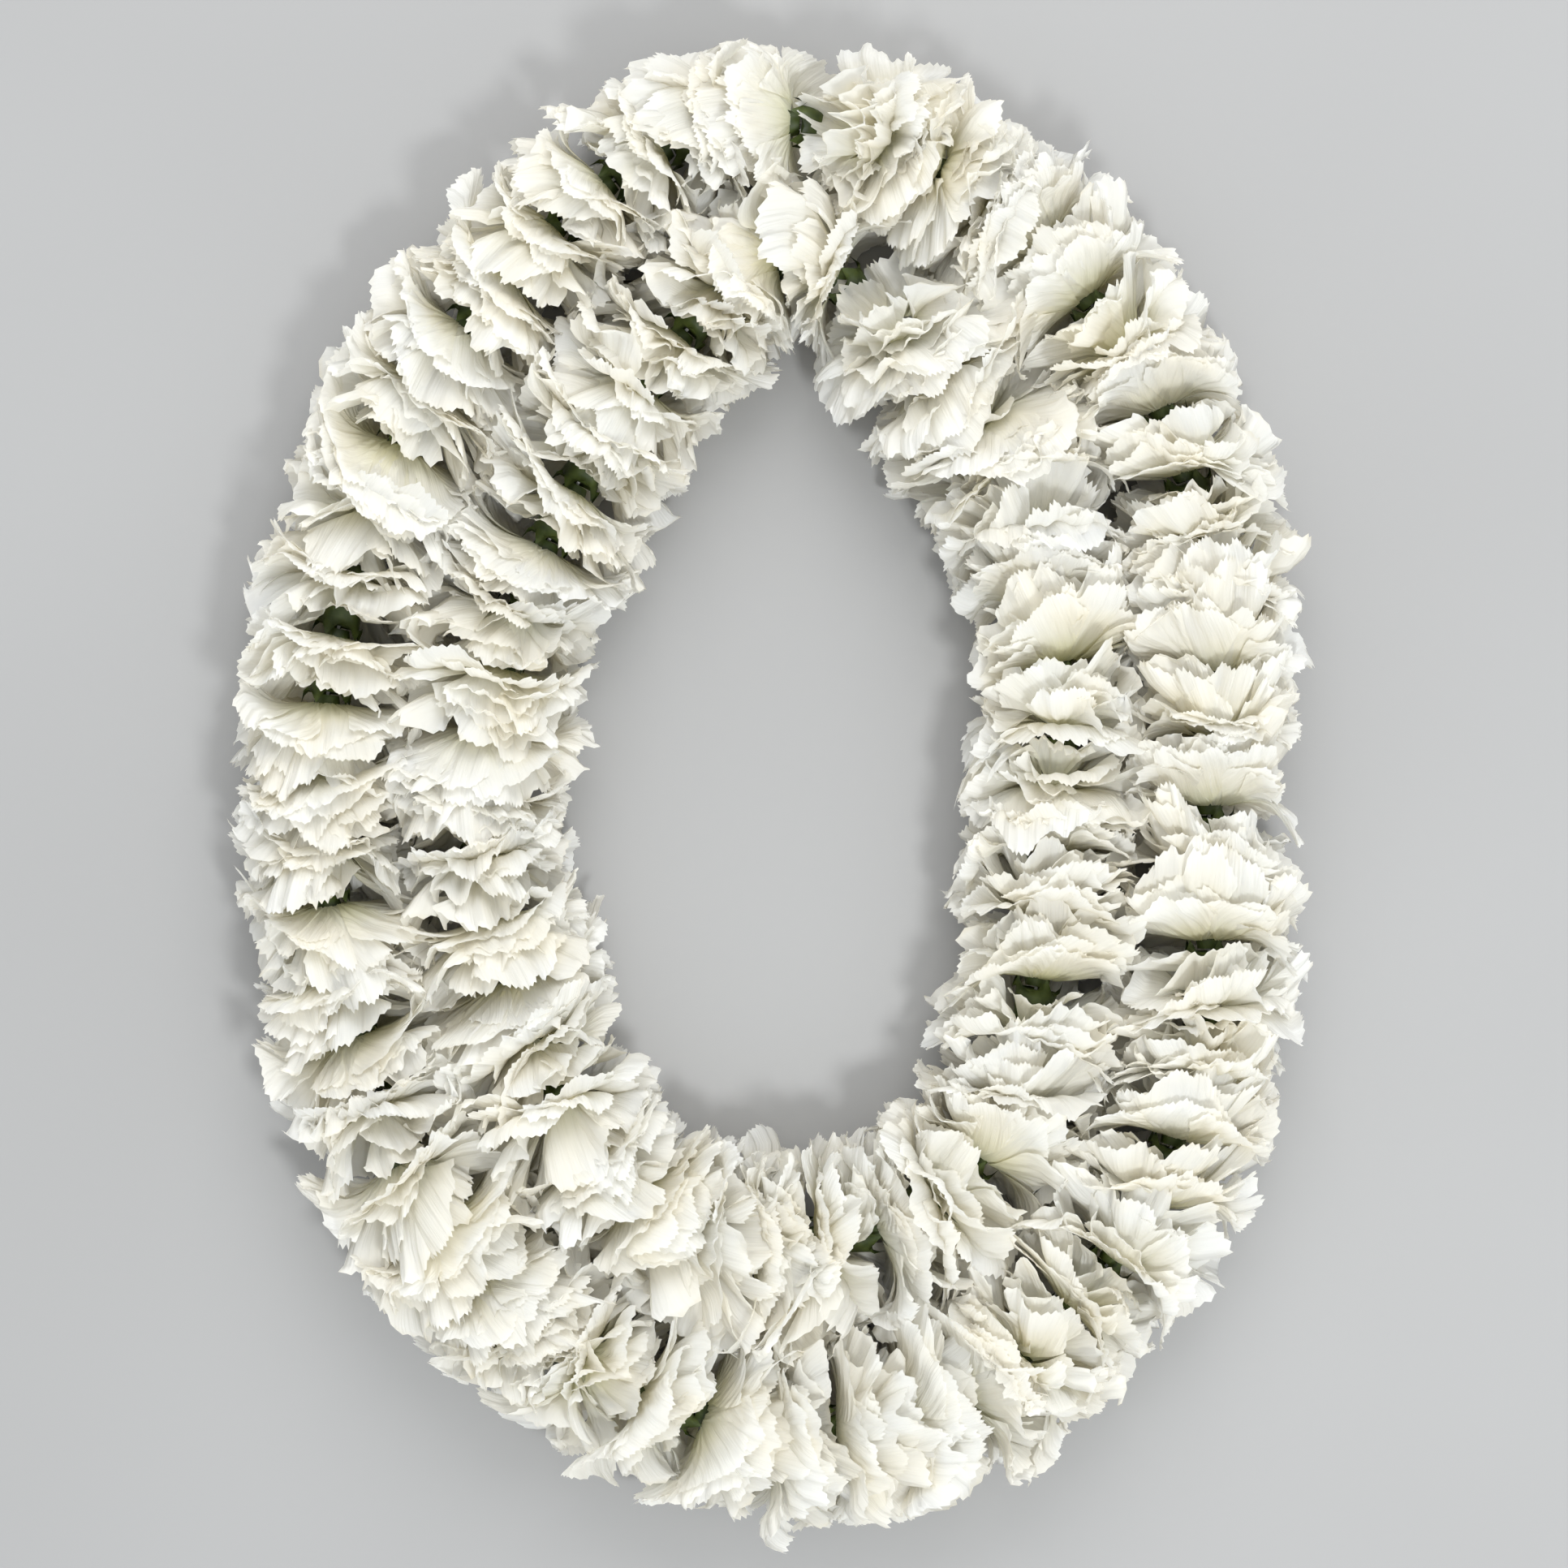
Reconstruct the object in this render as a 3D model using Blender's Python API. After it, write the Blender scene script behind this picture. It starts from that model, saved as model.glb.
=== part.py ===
"""A double carnation lei: two strands of white carnations, laid side by side as one long oval.

Each strand is a closed thread. Every bloom sits on it like a bead, facing the same way along it.
A bloom's green calyx reaches back into the middle of the bloom behind, and its petals fan out
from the calyx's mouth. The lei lies on a table at z = 0, its long axis along +Y. Metres, +Z up.
"""

import math
import random

import bmesh
import bpy
from mathutils import Vector

COLLECTION = "carnation_lei"
HELPERS = "petals_to_join"

# The middle of the band of flowers, in the order that the blooms face: x, y and the band's full width.
BAND = (
    (0.021, 0.213, 0.106),
    (-0.026, 0.204, 0.118),
    (-0.081, 0.147, 0.135),
    (-0.118, 0.068, 0.130),
    (-0.129, -0.010, 0.123),
    (-0.117, -0.076, 0.129),
    (-0.092, -0.135, 0.129),
    (-0.048, -0.178, 0.129),
    (0.006, -0.194, 0.143),
    (0.058, -0.185, 0.142),
    (0.104, -0.145, 0.128),
    (0.127, -0.084, 0.131),
    (0.131, -0.010, 0.122),
    (0.134, 0.050, 0.119),
    (0.115, 0.125, 0.131),
    (0.067, 0.186, 0.118),
)
MIDDLE = (0.00176, 0.00121)  # of the finished lei, in the coordinates of the band
SPAN_POINTS = 40  # points of the curve between two stations of the band
STEP = 0.001  # spacing of the points that a strand's route is read from
TANGENT = 4  # points ahead and behind that give a strand's direction
SMOOTHING = 60  # times that a route's corners are rounded off
CENTRE_SHARE = 0.235  # of the band's width, from its middle to a strand's thread

# The blooms that are wide open, so that the calyx in front of them shows.
OUTER_OPEN = (1, 2, 5, 7, 10, 11, 14, 16, 20, 24, 28, 33, 36, 38, 40, 44, 46, 47)
INNER_OPEN = (0, 5, 6, 9, 13, 23, 26, 28, 31)

# Strands: the side of the band, its blooms, how many a node holds, and where its thread is tied.
STRANDS = {
    "outer": {"side": 1, "blooms": 52, "per_node": 4, "join_at": 1.250, "wide_open": OUTER_OPEN},
    "inner": {"side": -1, "blooms": 39, "per_node": 3, "join_at": 0.851, "wide_open": INNER_OPEN},
}
JOIN_GAP = 0.006  # extra length of thread where a strand's ends are tied, in front of the last bloom

# A bloom, measured from its calyx's mouth forward along the strand.
CENTRE_HEIGHT = 0.0262
BLOOM_HEIGHT = 0.0515
SIZE_RANGE = (0.95, 1.05)
LEAN = 0.06  # most that a bloom leans to a side or up or down, in radians
SIDES = 7
CLAW_RADIUS = 0.0051
CLAW_FORWARD = 0.0013
# Each whorl of petals: its share of the bloom's radius, how far forward its rim lies, the points of
# the rim, and how deep its notches are.
WHORLS = (
    (1.12, 0.0075, 2 * SIDES, 0.09),
    (1.05, 0.0160, 2 * SIDES, 0.10),
    (0.68, 0.0218, SIDES, 0.10),
)
GROOVES = ((0.0110, 0.0045), (0.0135, 0.0073))  # radius and forward place between whorls
OPEN_SHARE = 0.12  # how much wider the inner whorl of a wide open bloom is
OPEN_FORWARD = 0.70  # and how much flatter all its whorls lie
LAST_FORWARD = 0.60  # and those of a strand's last bloom, which faces up
RUFFLES = ((3, 0.0028), (5, 0.0020))  # waves round a bloom, and how far they carry its rims
RIM_JITTER = 0.0006
RADIUS_JITTER = 0.035
CAUGHT_PETALS = (0, 4)  # rim points of the inner whorl that are caught in the next bloom of the node
CAUGHT_RADIUS = 0.0135
CAUGHT_FORWARD = 0.0047
# The last blooms before a strand's join turn their faces up: the angle, and their size for their place.
TURNED_UP = ((0.70, 1.06), (0.44, 1.04), (0.18, 1.00))

# The calyx, five sepals round, and the thread through it.
SEPALS = 5
FIRST_CALYX = 0.007  # length of the calyx that no bloom holds, at a strand's join
CALYX_NECK = 0.0041
CALYX_MOUTH = 0.0076
NECK_FORWARD = 0.0009
BORE = 0.0013
THREAD = 0.0006
KNOT = 0.0019
KNOT_AT = (0.008, 0.010, 0.012)  # the knot's ends and middle, in front of a strand's last bloom
SEAT_GAP = 0.0003

# Where petals are pressed against the table and against the other strand.
PETAL_FLOOR = 0.0004
BETWEEN_STRANDS = 0.0005
PRESSED_EVERY = 3  # one node in this many has a guard petal pressed flat under its second bloom
PRESSED_SIZE = 1.04
PRESSED_THICKNESS = 0.0012
PRESSED_ROOT = -0.009
PRESSED_ROOT_WIDTH = 0.006
PRESSED_REACH = 0.72
PRESSED_FAN = 0.42
PRESSED_TEETH = 8

COLOURS = {
    "petal_white": ((0.86, 0.84, 0.76), 0.55),
    "calyx_green": ((0.09, 0.16, 0.04), 0.5),
    "thread_white": ((0.80, 0.79, 0.74), 0.8),
}


def remove_everything():
    for obj in list(bpy.data.objects):
        bpy.data.objects.remove(obj)


def new_collection(name):
    made = bpy.data.collections.new(name)
    bpy.context.scene.collection.children.link(made)
    return made


def new_material(name):
    colour, roughness = COLOURS[name]
    made = bpy.data.materials.new(name)
    made.use_nodes = True
    shader = made.node_tree.nodes["Principled BSDF"]
    shader.inputs["Base Color"].default_value = (*colour, 1)
    shader.inputs["Roughness"].default_value = roughness
    shader.inputs["Metallic"].default_value = 0
    return made


def band():
    """The middle of the band as a closed Catmull-Rom curve through its stations, with its width."""
    middle = Vector((*MIDDLE, 0))
    stations = [Vector(station) - middle for station in BAND]
    count = len(stations)
    points = []
    for i in range(count):
        before, start, end, after = (stations[(i + k) % count] for k in (-1, 0, 1, 2))
        for k in range(SPAN_POINTS):
            t = k / SPAN_POINTS
            points.append(
                0.5
                * (
                    2 * start
                    + (end - before) * t
                    + (2 * before - 5 * start + 4 * end - after) * t**2
                    + (3 * start - before - 3 * end + after) * t**3
                )
            )
    return points


def outward(points, i):
    """The unit normal of a closed loop at point i, away from the loop's inside."""
    along = points[(i + 1) % len(points)] - points[i - 1]
    return Vector((-along.y, along.x)).normalized() * -1


def evenly(points, step):
    """The closed loop read at even steps, and its length."""
    ends = points[1:] + points[:1]
    total = sum((b - a).length for a, b in zip(points, ends))
    count = round(total / step)
    read, walked, wanted = [], 0.0, 0.0
    for a, b in zip(points, ends):
        length = (b - a).length
        while wanted <= walked + length and len(read) < count:
            read.append(a.lerp(b, (wanted - walked) / length))
            wanted += total / count
        walked += length
    return read, total


def smoothed(points, times):
    for _ in range(times):
        count = len(points)
        points = [
            (points[i - 1] + points[i] * 2 + points[(i + 1) % count]) / 4 for i in range(count)
        ]
    return points


class Strand:
    """The route of one strand's thread, and the places of its blooms."""

    def __init__(self, name, side, blooms, per_node, join_at, wide_open):
        loop = band()
        flat = [p.to_2d() for p in loop]
        route = []
        for i, p in enumerate(loop):
            at = flat[i] + outward(flat, i) * side * p.z * CENTRE_SHARE
            route.append(Vector((at.x, at.y, p.z / 4)))
        self.route, self.length = evenly(smoothed(route, SMOOTHING), STEP)
        self.name = name
        self.side = side
        self.join_at = join_at
        self.spacing = (self.length - JOIN_GAP) / blooms
        self.count = blooms
        self.per_node = per_node
        self.wide_open = wide_open

    def place(self, s):
        """Centre, outward direction and half the strand's width at length s along it."""
        at = (s / self.length * len(self.route)) % len(self.route)
        i = int(at)
        j = (i + 1) % len(self.route)
        here = self.route[i].lerp(self.route[j], at - i)
        ahead = self.route[(i + TANGENT) % len(self.route)] - self.route[i - TANGENT]
        return here.to_2d(), Vector((ahead.y, -ahead.x)).normalized(), here.z

    def point(self, s, sideways, height):
        """The point at length s, so far out of the strand's middle, and so high above it."""
        centre, out, _ = self.place(s)
        flat = centre + out * sideways
        return Vector((flat.x, flat.y, CENTRE_HEIGHT + height))


class Border:
    """The line midway between the strands, which neither one's petals cross."""

    def __init__(self):
        self.points, _ = evenly(smoothed([p.to_2d() for p in band()], SMOOTHING), STEP)

    def keep(self, p, side):
        """The point p, moved back to its own side of the line."""
        flat = Vector((p.x, p.y))
        i = min(range(len(self.points)), key=lambda k: (self.points[k] - flat).length_squared)
        out = outward(self.points, i)
        short = BETWEEN_STRANDS - side * (flat - self.points[i]).dot(out)
        if short > 0:
            flat = flat + out * side * short
        return Vector((flat.x, flat.y, p.z))


def turned(along, across, angle):
    """The two lengths after a turn of their axes, which lifts what lies along towards across."""
    return (
        along * math.cos(angle) - across * math.sin(angle),
        along * math.sin(angle) + across * math.cos(angle),
    )


class Bloom:
    """One carnation's place along its strand, and its own size, lean and waves."""

    def __init__(self, strand, index):
        self.strand = strand
        self.index = index
        draw = random.Random(f"{strand.name} {index}")
        self.s = strand.join_at + JOIN_GAP + (index + 0.5) * strand.spacing
        self.size = draw.uniform(*SIZE_RANGE)
        self.lean_side = draw.uniform(-LEAN, LEAN)
        self.lean_up = draw.uniform(-LEAN, LEAN)
        before_join = strand.count - 1 - index
        self.is_open = index in strand.wide_open
        if before_join < len(TURNED_UP):
            self.lean_up, self.size = TURNED_UP[before_join]
            self.is_open = before_join == 0
        self.flatness = OPEN_FORWARD if self.is_open else 1
        if before_join == 0:
            self.flatness = LAST_FORWARD
        self.turn = draw.uniform(0, math.tau / SIDES)
        second = index % strand.per_node == 1 and index // strand.per_node % PRESSED_EVERY == 0
        self.pressed = second and before_join >= len(TURNED_UP)
        if self.pressed:
            self.turn = math.tau / SIDES / 2
            self.size = PRESSED_SIZE
        self.phases = [draw.uniform(0, math.tau) for _ in RUFFLES]
        self.jitter = [
            [(draw.uniform(-1, 1), draw.uniform(-1, 1)) for _ in range(points)]
            for _, _, points, _ in WHORLS
        ]

    def world(self, angle, radius, forward):
        """A point of the bloom at this angle round the strand: 0 is outward, a quarter turn is up."""
        half_width = self.strand.place(self.s)[2]
        sideways = math.cos(angle) * radius
        height = math.sin(angle) * radius * BLOOM_HEIGHT / 2 / half_width
        forward, height = turned(forward, height, self.lean_up)
        forward, sideways = turned(forward, sideways, self.lean_side)
        return self.strand.point(self.s + forward, sideways, height)

    def petal(self, angle, radius, forward):
        """A point of the petals, which the ruffles carry further forward or back towards the rim."""
        share = (radius - CLAW_RADIUS) / (self.strand.place(self.s)[2] - CLAW_RADIUS)
        for (waves, size), phase in zip(RUFFLES, self.phases):
            forward += size * math.sin(waves * angle + phase) * share
        return self.world(angle, radius, forward)

    def petal_ring(self, radius, forward):
        return [
            self.petal(self.turn + math.tau * k / SIDES, radius, forward) for k in range(SIDES)
        ]

    def calyx_ring(self, radius, forward):
        return [self.world(math.tau * k / SEPALS, radius, forward) for k in range(SEPALS)]

    def reach(self):
        return self.strand.place(self.s)[2] * self.size


def whorl_rim(bloom, which, following, border):
    """The waved and notched rim of one whorl. Caught petals reach into the following bloom."""
    share, forward, points, notch = WHORLS[which]
    if bloom.is_open and which == len(WHORLS) - 1:
        share += OPEN_SHARE
    rim = []
    for k in range(points):
        along, out = bloom.jitter[which][k]
        is_notch = points > SIDES and k % 2 == 0
        radius = bloom.reach() * share * (1 - (notch if is_notch else 0) + RADIUS_JITTER * out)
        angle = bloom.turn + math.tau * k / points
        if following and which == len(WHORLS) - 1 and k in CAUGHT_PETALS:
            p = following.petal(angle, CAUGHT_RADIUS, CAUGHT_FORWARD * following.flatness)
        else:
            p = bloom.petal(angle, radius, forward * bloom.flatness + RIM_JITTER * along)
        p = border.keep(p, bloom.strand.side)
        p.z = max(p.z, PETAL_FLOOR)
        rim.append(p)
    return rim


def loft(name, rings):
    """A closed tube through the rings in turn and back to the first.

    A ring has as many points as the one before it, twice as many or half as many.
    """
    mesh = bmesh.new()
    rows = [[mesh.verts.new(p) for p in row] for row in rings]
    for a, b in zip(rows, rows[1:] + rows[:1]):
        flip = len(a) > len(b)
        few, many = (b, a) if flip else (a, b)
        step = len(many) // len(few)
        for j in range(len(few)):
            this, following = few[j], few[(j + 1) % len(few)]
            outer = [many[(j * step + k) % len(many)] for k in range(step + 1)]
            if step == 1:
                faces = [(this, outer[0], outer[1]), (this, outer[1], following)]
            else:
                faces = [
                    (this, outer[0], outer[1]),
                    (this, outer[1], following),
                    (following, outer[1], outer[2]),
                ]
            for face in faces:
                mesh.faces.new(face if flip else face[::-1])
    bmesh.ops.recalc_face_normals(mesh, faces=mesh.faces)
    if mesh.calc_volume(signed=True) < 0:
        bmesh.ops.reverse_faces(mesh, faces=mesh.faces)
    made = bpy.data.meshes.new(name)
    mesh.to_mesh(made)
    mesh.free()
    return bpy.data.objects.new(name, made)


def bloom_petals(bloom, following, border):
    """A bloom's three whorls as one body, round the neck of the calyx in front."""
    rims = [whorl_rim(bloom, which, following, border) for which in range(len(WHORLS))]
    rings = [bloom.petal_ring(CLAW_RADIUS, CLAW_FORWARD), rims[0]]
    for (radius, forward), rim in zip(GROOVES, rims[1:]):
        rings += [bloom.petal_ring(radius, forward * bloom.flatness), rim]
    return loft(f"bloom_{bloom.index}", rings)


def pressed_petal(bloom):
    """A guard petal pressed flat on the table by the bloom's weight: a fan with a cut rim."""
    draw = random.Random(f"pressed {bloom.strand.name} {bloom.index}")
    outline = [(PRESSED_ROOT, -PRESSED_ROOT_WIDTH / 2), (PRESSED_ROOT, PRESSED_ROOT_WIDTH / 2)]
    for k in range(PRESSED_TEETH + 1):
        angle = PRESSED_FAN * (1 - 2 * k / PRESSED_TEETH)
        length = bloom.reach() * PRESSED_REACH - PRESSED_ROOT
        length *= draw.uniform(0.97, 1.03) if k % 2 else draw.uniform(0.89, 0.95)
        outline.append((PRESSED_ROOT + length * math.cos(angle), length * math.sin(angle)))
    curve = bpy.data.curves.new("pressed_petal", "CURVE")
    curve.dimensions = "2D"
    curve.fill_mode = "BOTH"
    curve.extrude = PRESSED_THICKNESS / 2
    spline = curve.splines.new("POLY")
    spline.points.add(len(outline) - 1)
    spline.use_cyclic_u = True
    for point, (x, y) in zip(spline.points, outline):
        point.co = (x, y, 0, 1)
    guide = bpy.data.objects.new("pressed_petal", curve)
    bpy.context.scene.collection.objects.link(guide)
    centre, out, _ = bloom.strand.place(bloom.s + WHORLS[0][1])
    guide.location = (centre.x, centre.y, PRESSED_THICKNESS / 2)
    guide.rotation_euler = (0, 0, math.atan2(out.y, out.x))
    return mesh_from(guide, "pressed_petal")


def mesh_from(guide, name):
    """The curve object as a mesh object in its place, with its caps welded on."""
    bpy.context.view_layer.update()
    graph = bpy.context.evaluated_depsgraph_get()
    made = bpy.data.meshes.new_from_object(guide.evaluated_get(graph))
    made.transform(guide.matrix_world)
    welded = bmesh.new()
    welded.from_mesh(made)
    bmesh.ops.remove_doubles(welded, verts=welded.verts, dist=1e-6)
    bmesh.ops.recalc_face_normals(welded, faces=welded.faces)
    welded.to_mesh(made)
    welded.free()
    bpy.data.objects.remove(guide)
    return bpy.data.objects.new(name, made)


def largest_shell(data):
    """The mesh without the small closed pockets that crossing petals leave inside it."""
    mesh = bmesh.new()
    mesh.from_mesh(data)
    shells = []
    left = set(mesh.faces)
    while left:
        shell, front = set(), {left.pop()}
        while front:
            face = front.pop()
            shell.add(face)
            front |= {near for edge in face.edges for near in edge.link_faces} & left
            left -= front
        shells.append(shell)
    shells.sort(key=len)
    pockets = [face for shell in shells[:-1] for face in shell]
    bmesh.ops.delete(mesh, geom=pockets, context="FACES")
    mesh.to_mesh(data)
    mesh.free()
    return data


def joined(name, pieces, home, helpers):
    """The pieces as one body in one object."""
    base, others = pieces[0], pieces[1:]
    home.objects.link(base)
    for other in others:
        helpers.objects.link(other)
    union = base.modifiers.new("union", "BOOLEAN")
    union.operation = "UNION"
    union.operand_type = "COLLECTION"
    union.collection = helpers
    union.solver = "MANIFOLD"
    bpy.context.view_layer.update()
    graph = bpy.context.evaluated_depsgraph_get()
    made = bpy.data.meshes.new_from_object(base.evaluated_get(graph))
    base.modifiers.clear()
    base.data = largest_shell(made)
    for other in others:
        bpy.data.objects.remove(other)
    base.name = name
    base.data.name = name
    return base


def calyx_chain(blooms, follows):
    """The calyxes of a node's blooms, each from a neck in the bloom behind to its own wide mouth."""
    outer = []
    bores = []
    behind = follows
    for bloom in blooms:
        if bloom.index == 0:
            start = (bloom, -FIRST_CALYX)
        else:
            start = (behind, NECK_FORWARD + (SEAT_GAP if bloom is blooms[0] else 0))
        holder, forward = start
        outer += [holder.calyx_ring(CALYX_NECK, forward), bloom.calyx_ring(CALYX_MOUTH, 0)]
        bores.append(holder.calyx_ring(BORE, forward))
        behind = bloom
    outer.append(behind.calyx_ring(CALYX_NECK, NECK_FORWARD))
    bores.append(behind.calyx_ring(BORE, NECK_FORWARD))
    return loft("calyxes", outer + bores[::-1])


def thread(strand, blooms):
    """The strand's thread, a closed loop with the knot that ties its ends in front of the last bloom."""
    curve = bpy.data.curves.new("thread", "CURVE")
    curve.dimensions = "3D"
    curve.bevel_depth = THREAD
    curve.bevel_resolution = 0
    spline = curve.splines.new("POLY")
    route = [bloom.world(0, 0, NECK_FORWARD) for bloom in blooms]
    knot = len(route) + 1
    route += [strand.point(blooms[-1].s + ahead, 0, 0) for ahead in KNOT_AT]
    route.append(blooms[0].world(0, 0, -FIRST_CALYX))
    spline.points.add(len(route) - 1)
    spline.use_cyclic_u = True
    for point, at in zip(spline.points, route):
        point.co = (*at, 1)
    spline.points[knot].radius = KNOT / THREAD
    guide = bpy.data.objects.new("thread", curve)
    bpy.context.scene.collection.objects.link(guide)
    return mesh_from(guide, "thread")


def finish(obj, material, smooth):
    obj.data.materials.clear()
    obj.data.materials.append(material)
    obj.data.shade_flat()
    if smooth:
        obj.data.shade_smooth()
        obj.data.set_sharp_from_angle(angle=math.radians(40))


def build_strand(name, values, border, home, helpers, materials):
    strand = Strand(name, **values)
    blooms = [Bloom(strand, index) for index in range(strand.count)]
    for number, first in enumerate(range(0, strand.count, strand.per_node)):
        group = blooms[first : first + strand.per_node]
        pieces = [bloom_petals(*pair, border) for pair in zip(group, group[1:] + [None])]
        pieces += [pressed_petal(b) for b in group if b.pressed]
        petals = joined(f"petals_{name}_{number + 1:02d}", pieces, home, helpers)
        finish(petals, materials["petal_white"], False)
        chain = calyx_chain(group, blooms[first - 1])
        chain.name = f"calyxes_{name}_{number + 1:02d}"
        home.objects.link(chain)
        finish(chain, materials["calyx_green"], False)
    line = thread(strand, blooms)
    line.name = f"thread_{name}"
    home.objects.link(line)
    finish(line, materials["thread_white"], True)


def main():
    remove_everything()
    home = new_collection(COLLECTION)
    helpers = new_collection(HELPERS)
    materials = {name: new_material(name) for name in COLOURS}
    border = Border()
    for name, values in STRANDS.items():
        build_strand(name, values, border, home, helpers, materials)


main()
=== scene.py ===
"""The looks of the carnation lei: fine petals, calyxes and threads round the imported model.

The blooms are placed by the same rule and the same random draws as in the part's source, so every
fine piece stands where its solid does. Metres, +Z up, the lei's long axis along +Y.
"""

import math
import random

import bpy
import numpy as np
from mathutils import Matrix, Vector

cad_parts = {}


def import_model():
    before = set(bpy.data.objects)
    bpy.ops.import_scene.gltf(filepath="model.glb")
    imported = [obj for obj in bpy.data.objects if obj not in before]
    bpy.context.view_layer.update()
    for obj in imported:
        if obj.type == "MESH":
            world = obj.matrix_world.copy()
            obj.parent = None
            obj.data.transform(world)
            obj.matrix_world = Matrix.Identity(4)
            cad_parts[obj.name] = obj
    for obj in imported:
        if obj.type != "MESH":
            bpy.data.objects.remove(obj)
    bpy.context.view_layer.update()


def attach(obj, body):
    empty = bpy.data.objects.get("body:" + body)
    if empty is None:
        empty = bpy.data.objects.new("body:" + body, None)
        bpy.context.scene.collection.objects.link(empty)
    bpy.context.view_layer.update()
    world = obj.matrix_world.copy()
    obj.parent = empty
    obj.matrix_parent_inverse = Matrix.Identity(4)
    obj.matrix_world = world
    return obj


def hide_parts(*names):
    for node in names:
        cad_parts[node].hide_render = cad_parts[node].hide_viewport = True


# The middle of the band of flowers, in the order that the blooms face: x, y and the band's width.
# These and the values of strands and blooms that follow are the part's own.
BAND = (
    (0.021, 0.213, 0.106),
    (-0.026, 0.204, 0.118),
    (-0.081, 0.147, 0.135),
    (-0.118, 0.068, 0.130),
    (-0.129, -0.010, 0.123),
    (-0.117, -0.076, 0.129),
    (-0.092, -0.135, 0.129),
    (-0.048, -0.178, 0.129),
    (0.006, -0.194, 0.143),
    (0.058, -0.185, 0.142),
    (0.104, -0.145, 0.128),
    (0.127, -0.084, 0.131),
    (0.131, -0.010, 0.122),
    (0.134, 0.050, 0.119),
    (0.115, 0.125, 0.131),
    (0.067, 0.186, 0.118),
)
MIDDLE = (0.00176, 0.00121)  # of the finished lei, in the coordinates of the band
SPAN_POINTS = 40  # points of the curve between two stations of the band
STEP = 0.001  # spacing of the points that a strand's route is read from
TANGENT = 4  # points ahead and behind that give a strand's direction
SMOOTHING = 60  # times that a route's corners are rounded off
CENTRE_SHARE = 0.235  # of the band's width, from its middle to a strand's thread
# The blooms that are wide open, so that the calyx in front of them shows.
OUTER_OPEN = (1, 2, 5, 7, 10, 11, 14, 16, 20, 24, 28, 33, 36, 38, 40, 44, 46, 47)
INNER_OPEN = (0, 5, 6, 9, 13, 23, 26, 28, 31)
# Strands: the side of the band, its blooms, how many a node holds, and where its thread is tied.
STRANDS = {
    "outer": {"side": 1, "blooms": 52, "per_node": 4, "join_at": 1.250, "wide_open": OUTER_OPEN},
    "inner": {"side": -1, "blooms": 39, "per_node": 3, "join_at": 0.851, "wide_open": INNER_OPEN},
}
OUTWARD = 0.92  # the share of their reach that petals keep on the side away from the other strand
OUTWARD_OVER = 0.018  # the width over which that sets in, outward from the thread
JOIN_GAP = 0.006  # extra length of thread where a strand's ends are tied
CENTRE_HEIGHT = 0.0262
BLOOM_HEIGHT = 0.0515
SIZE_RANGE = (0.95, 1.05)
LEAN = 0.06  # most that a bloom leans to a side or up or down, in radians
SIDES = 7
CLAW_RADIUS = 0.0051  # where the petals start, round the mouth of the calyx
CLAW_FORWARD = 0.0013
GUARD_FORWARD = CLAW_FORWARD - 0.0006
BLOOMS_APART = 0.0006
FACING_UP = ((5, 0.14), (8, 0.16), (13, 0.14))  # waves round the strand, and their sizes
FACING_OUT = ((3, 0.10), (7, 0.12), (16, 0.14))
PARTED = 0.12  # how far the blooms beside a visible calyx lean away from it
OPEN_GAP = 0.007  # how far the petals stay back on top, where the calyx in front shows
JOIN_ROOM = 0.02  # how far the petals of a strand's last bloom may reach over the knot
RUFFLES = ((3, 0.0028), (5, 0.0020))  # waves round a bloom, and how far they carry its rims
PRESSED_EVERY = 3  # one node in this many has its second bloom pressed flat underneath
PRESSED_SIZE = 1.04
# The last blooms before a strand's join turn their faces up: the angle, and their size.
TURNED_UP = ((0.70, 1.06), (0.44, 1.04), (0.18, 1.00))
FIRST_CALYX = 0.007  # length of the calyx that no bloom holds, at a strand's join
CALYX_NECK = 0.0041
CALYX_MOUTH = 0.0076
NECK_FORWARD = 0.0009
THREAD = 0.0006
KNOT = 0.0019
KNOT_AT = (0.008, 0.010, 0.012)  # the knot's ends and middle, in front of the last bloom
LOBE_RINGS = ((0.0022, 0.0009), (0.0042, 0.0012))  # how far forward and how much wider
RIBS = 0.05  # of the calyxes, for their radius

# The whorls of fine petals, from the guard petals to the heart: how many, how far out their rims
# lie for the bloom's radius and how far forward for the blooms' spacing (both lowest and highest),
# the direction of their roots in degrees from straight ahead, the directions of the tips that bend
# forward, the share of petals that bend back instead, half their width for the bloom's radius, and
# their grid of columns and rows.
WHORLS = (
    (7, (0.98, 1.11), (-0.06, 0.06), 84, (20, 60), 0.55, 0.62, (22, 7)),
    (7, (0.92, 1.10), (0.06, 0.34), 78, (15, 55), 0.4, 0.62, (22, 7)),
    (7, (0.88, 1.09), (0.30, 0.70), 66, (10, 55), 0.25, 0.60, (22, 7)),
    (7, (0.84, 1.07), (0.56, 1.00), 52, (5, 50), 0.12, 0.56, (20, 6)),
    (6, (0.80, 1.06), (0.84, 1.24), 38, (0, 45), 0.1, 0.50, (14, 5)),
    (5, (0.60, 1.00), (0.95, 1.35), 22, (0, 45), 0.0, 0.42, (12, 4)),
)
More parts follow.
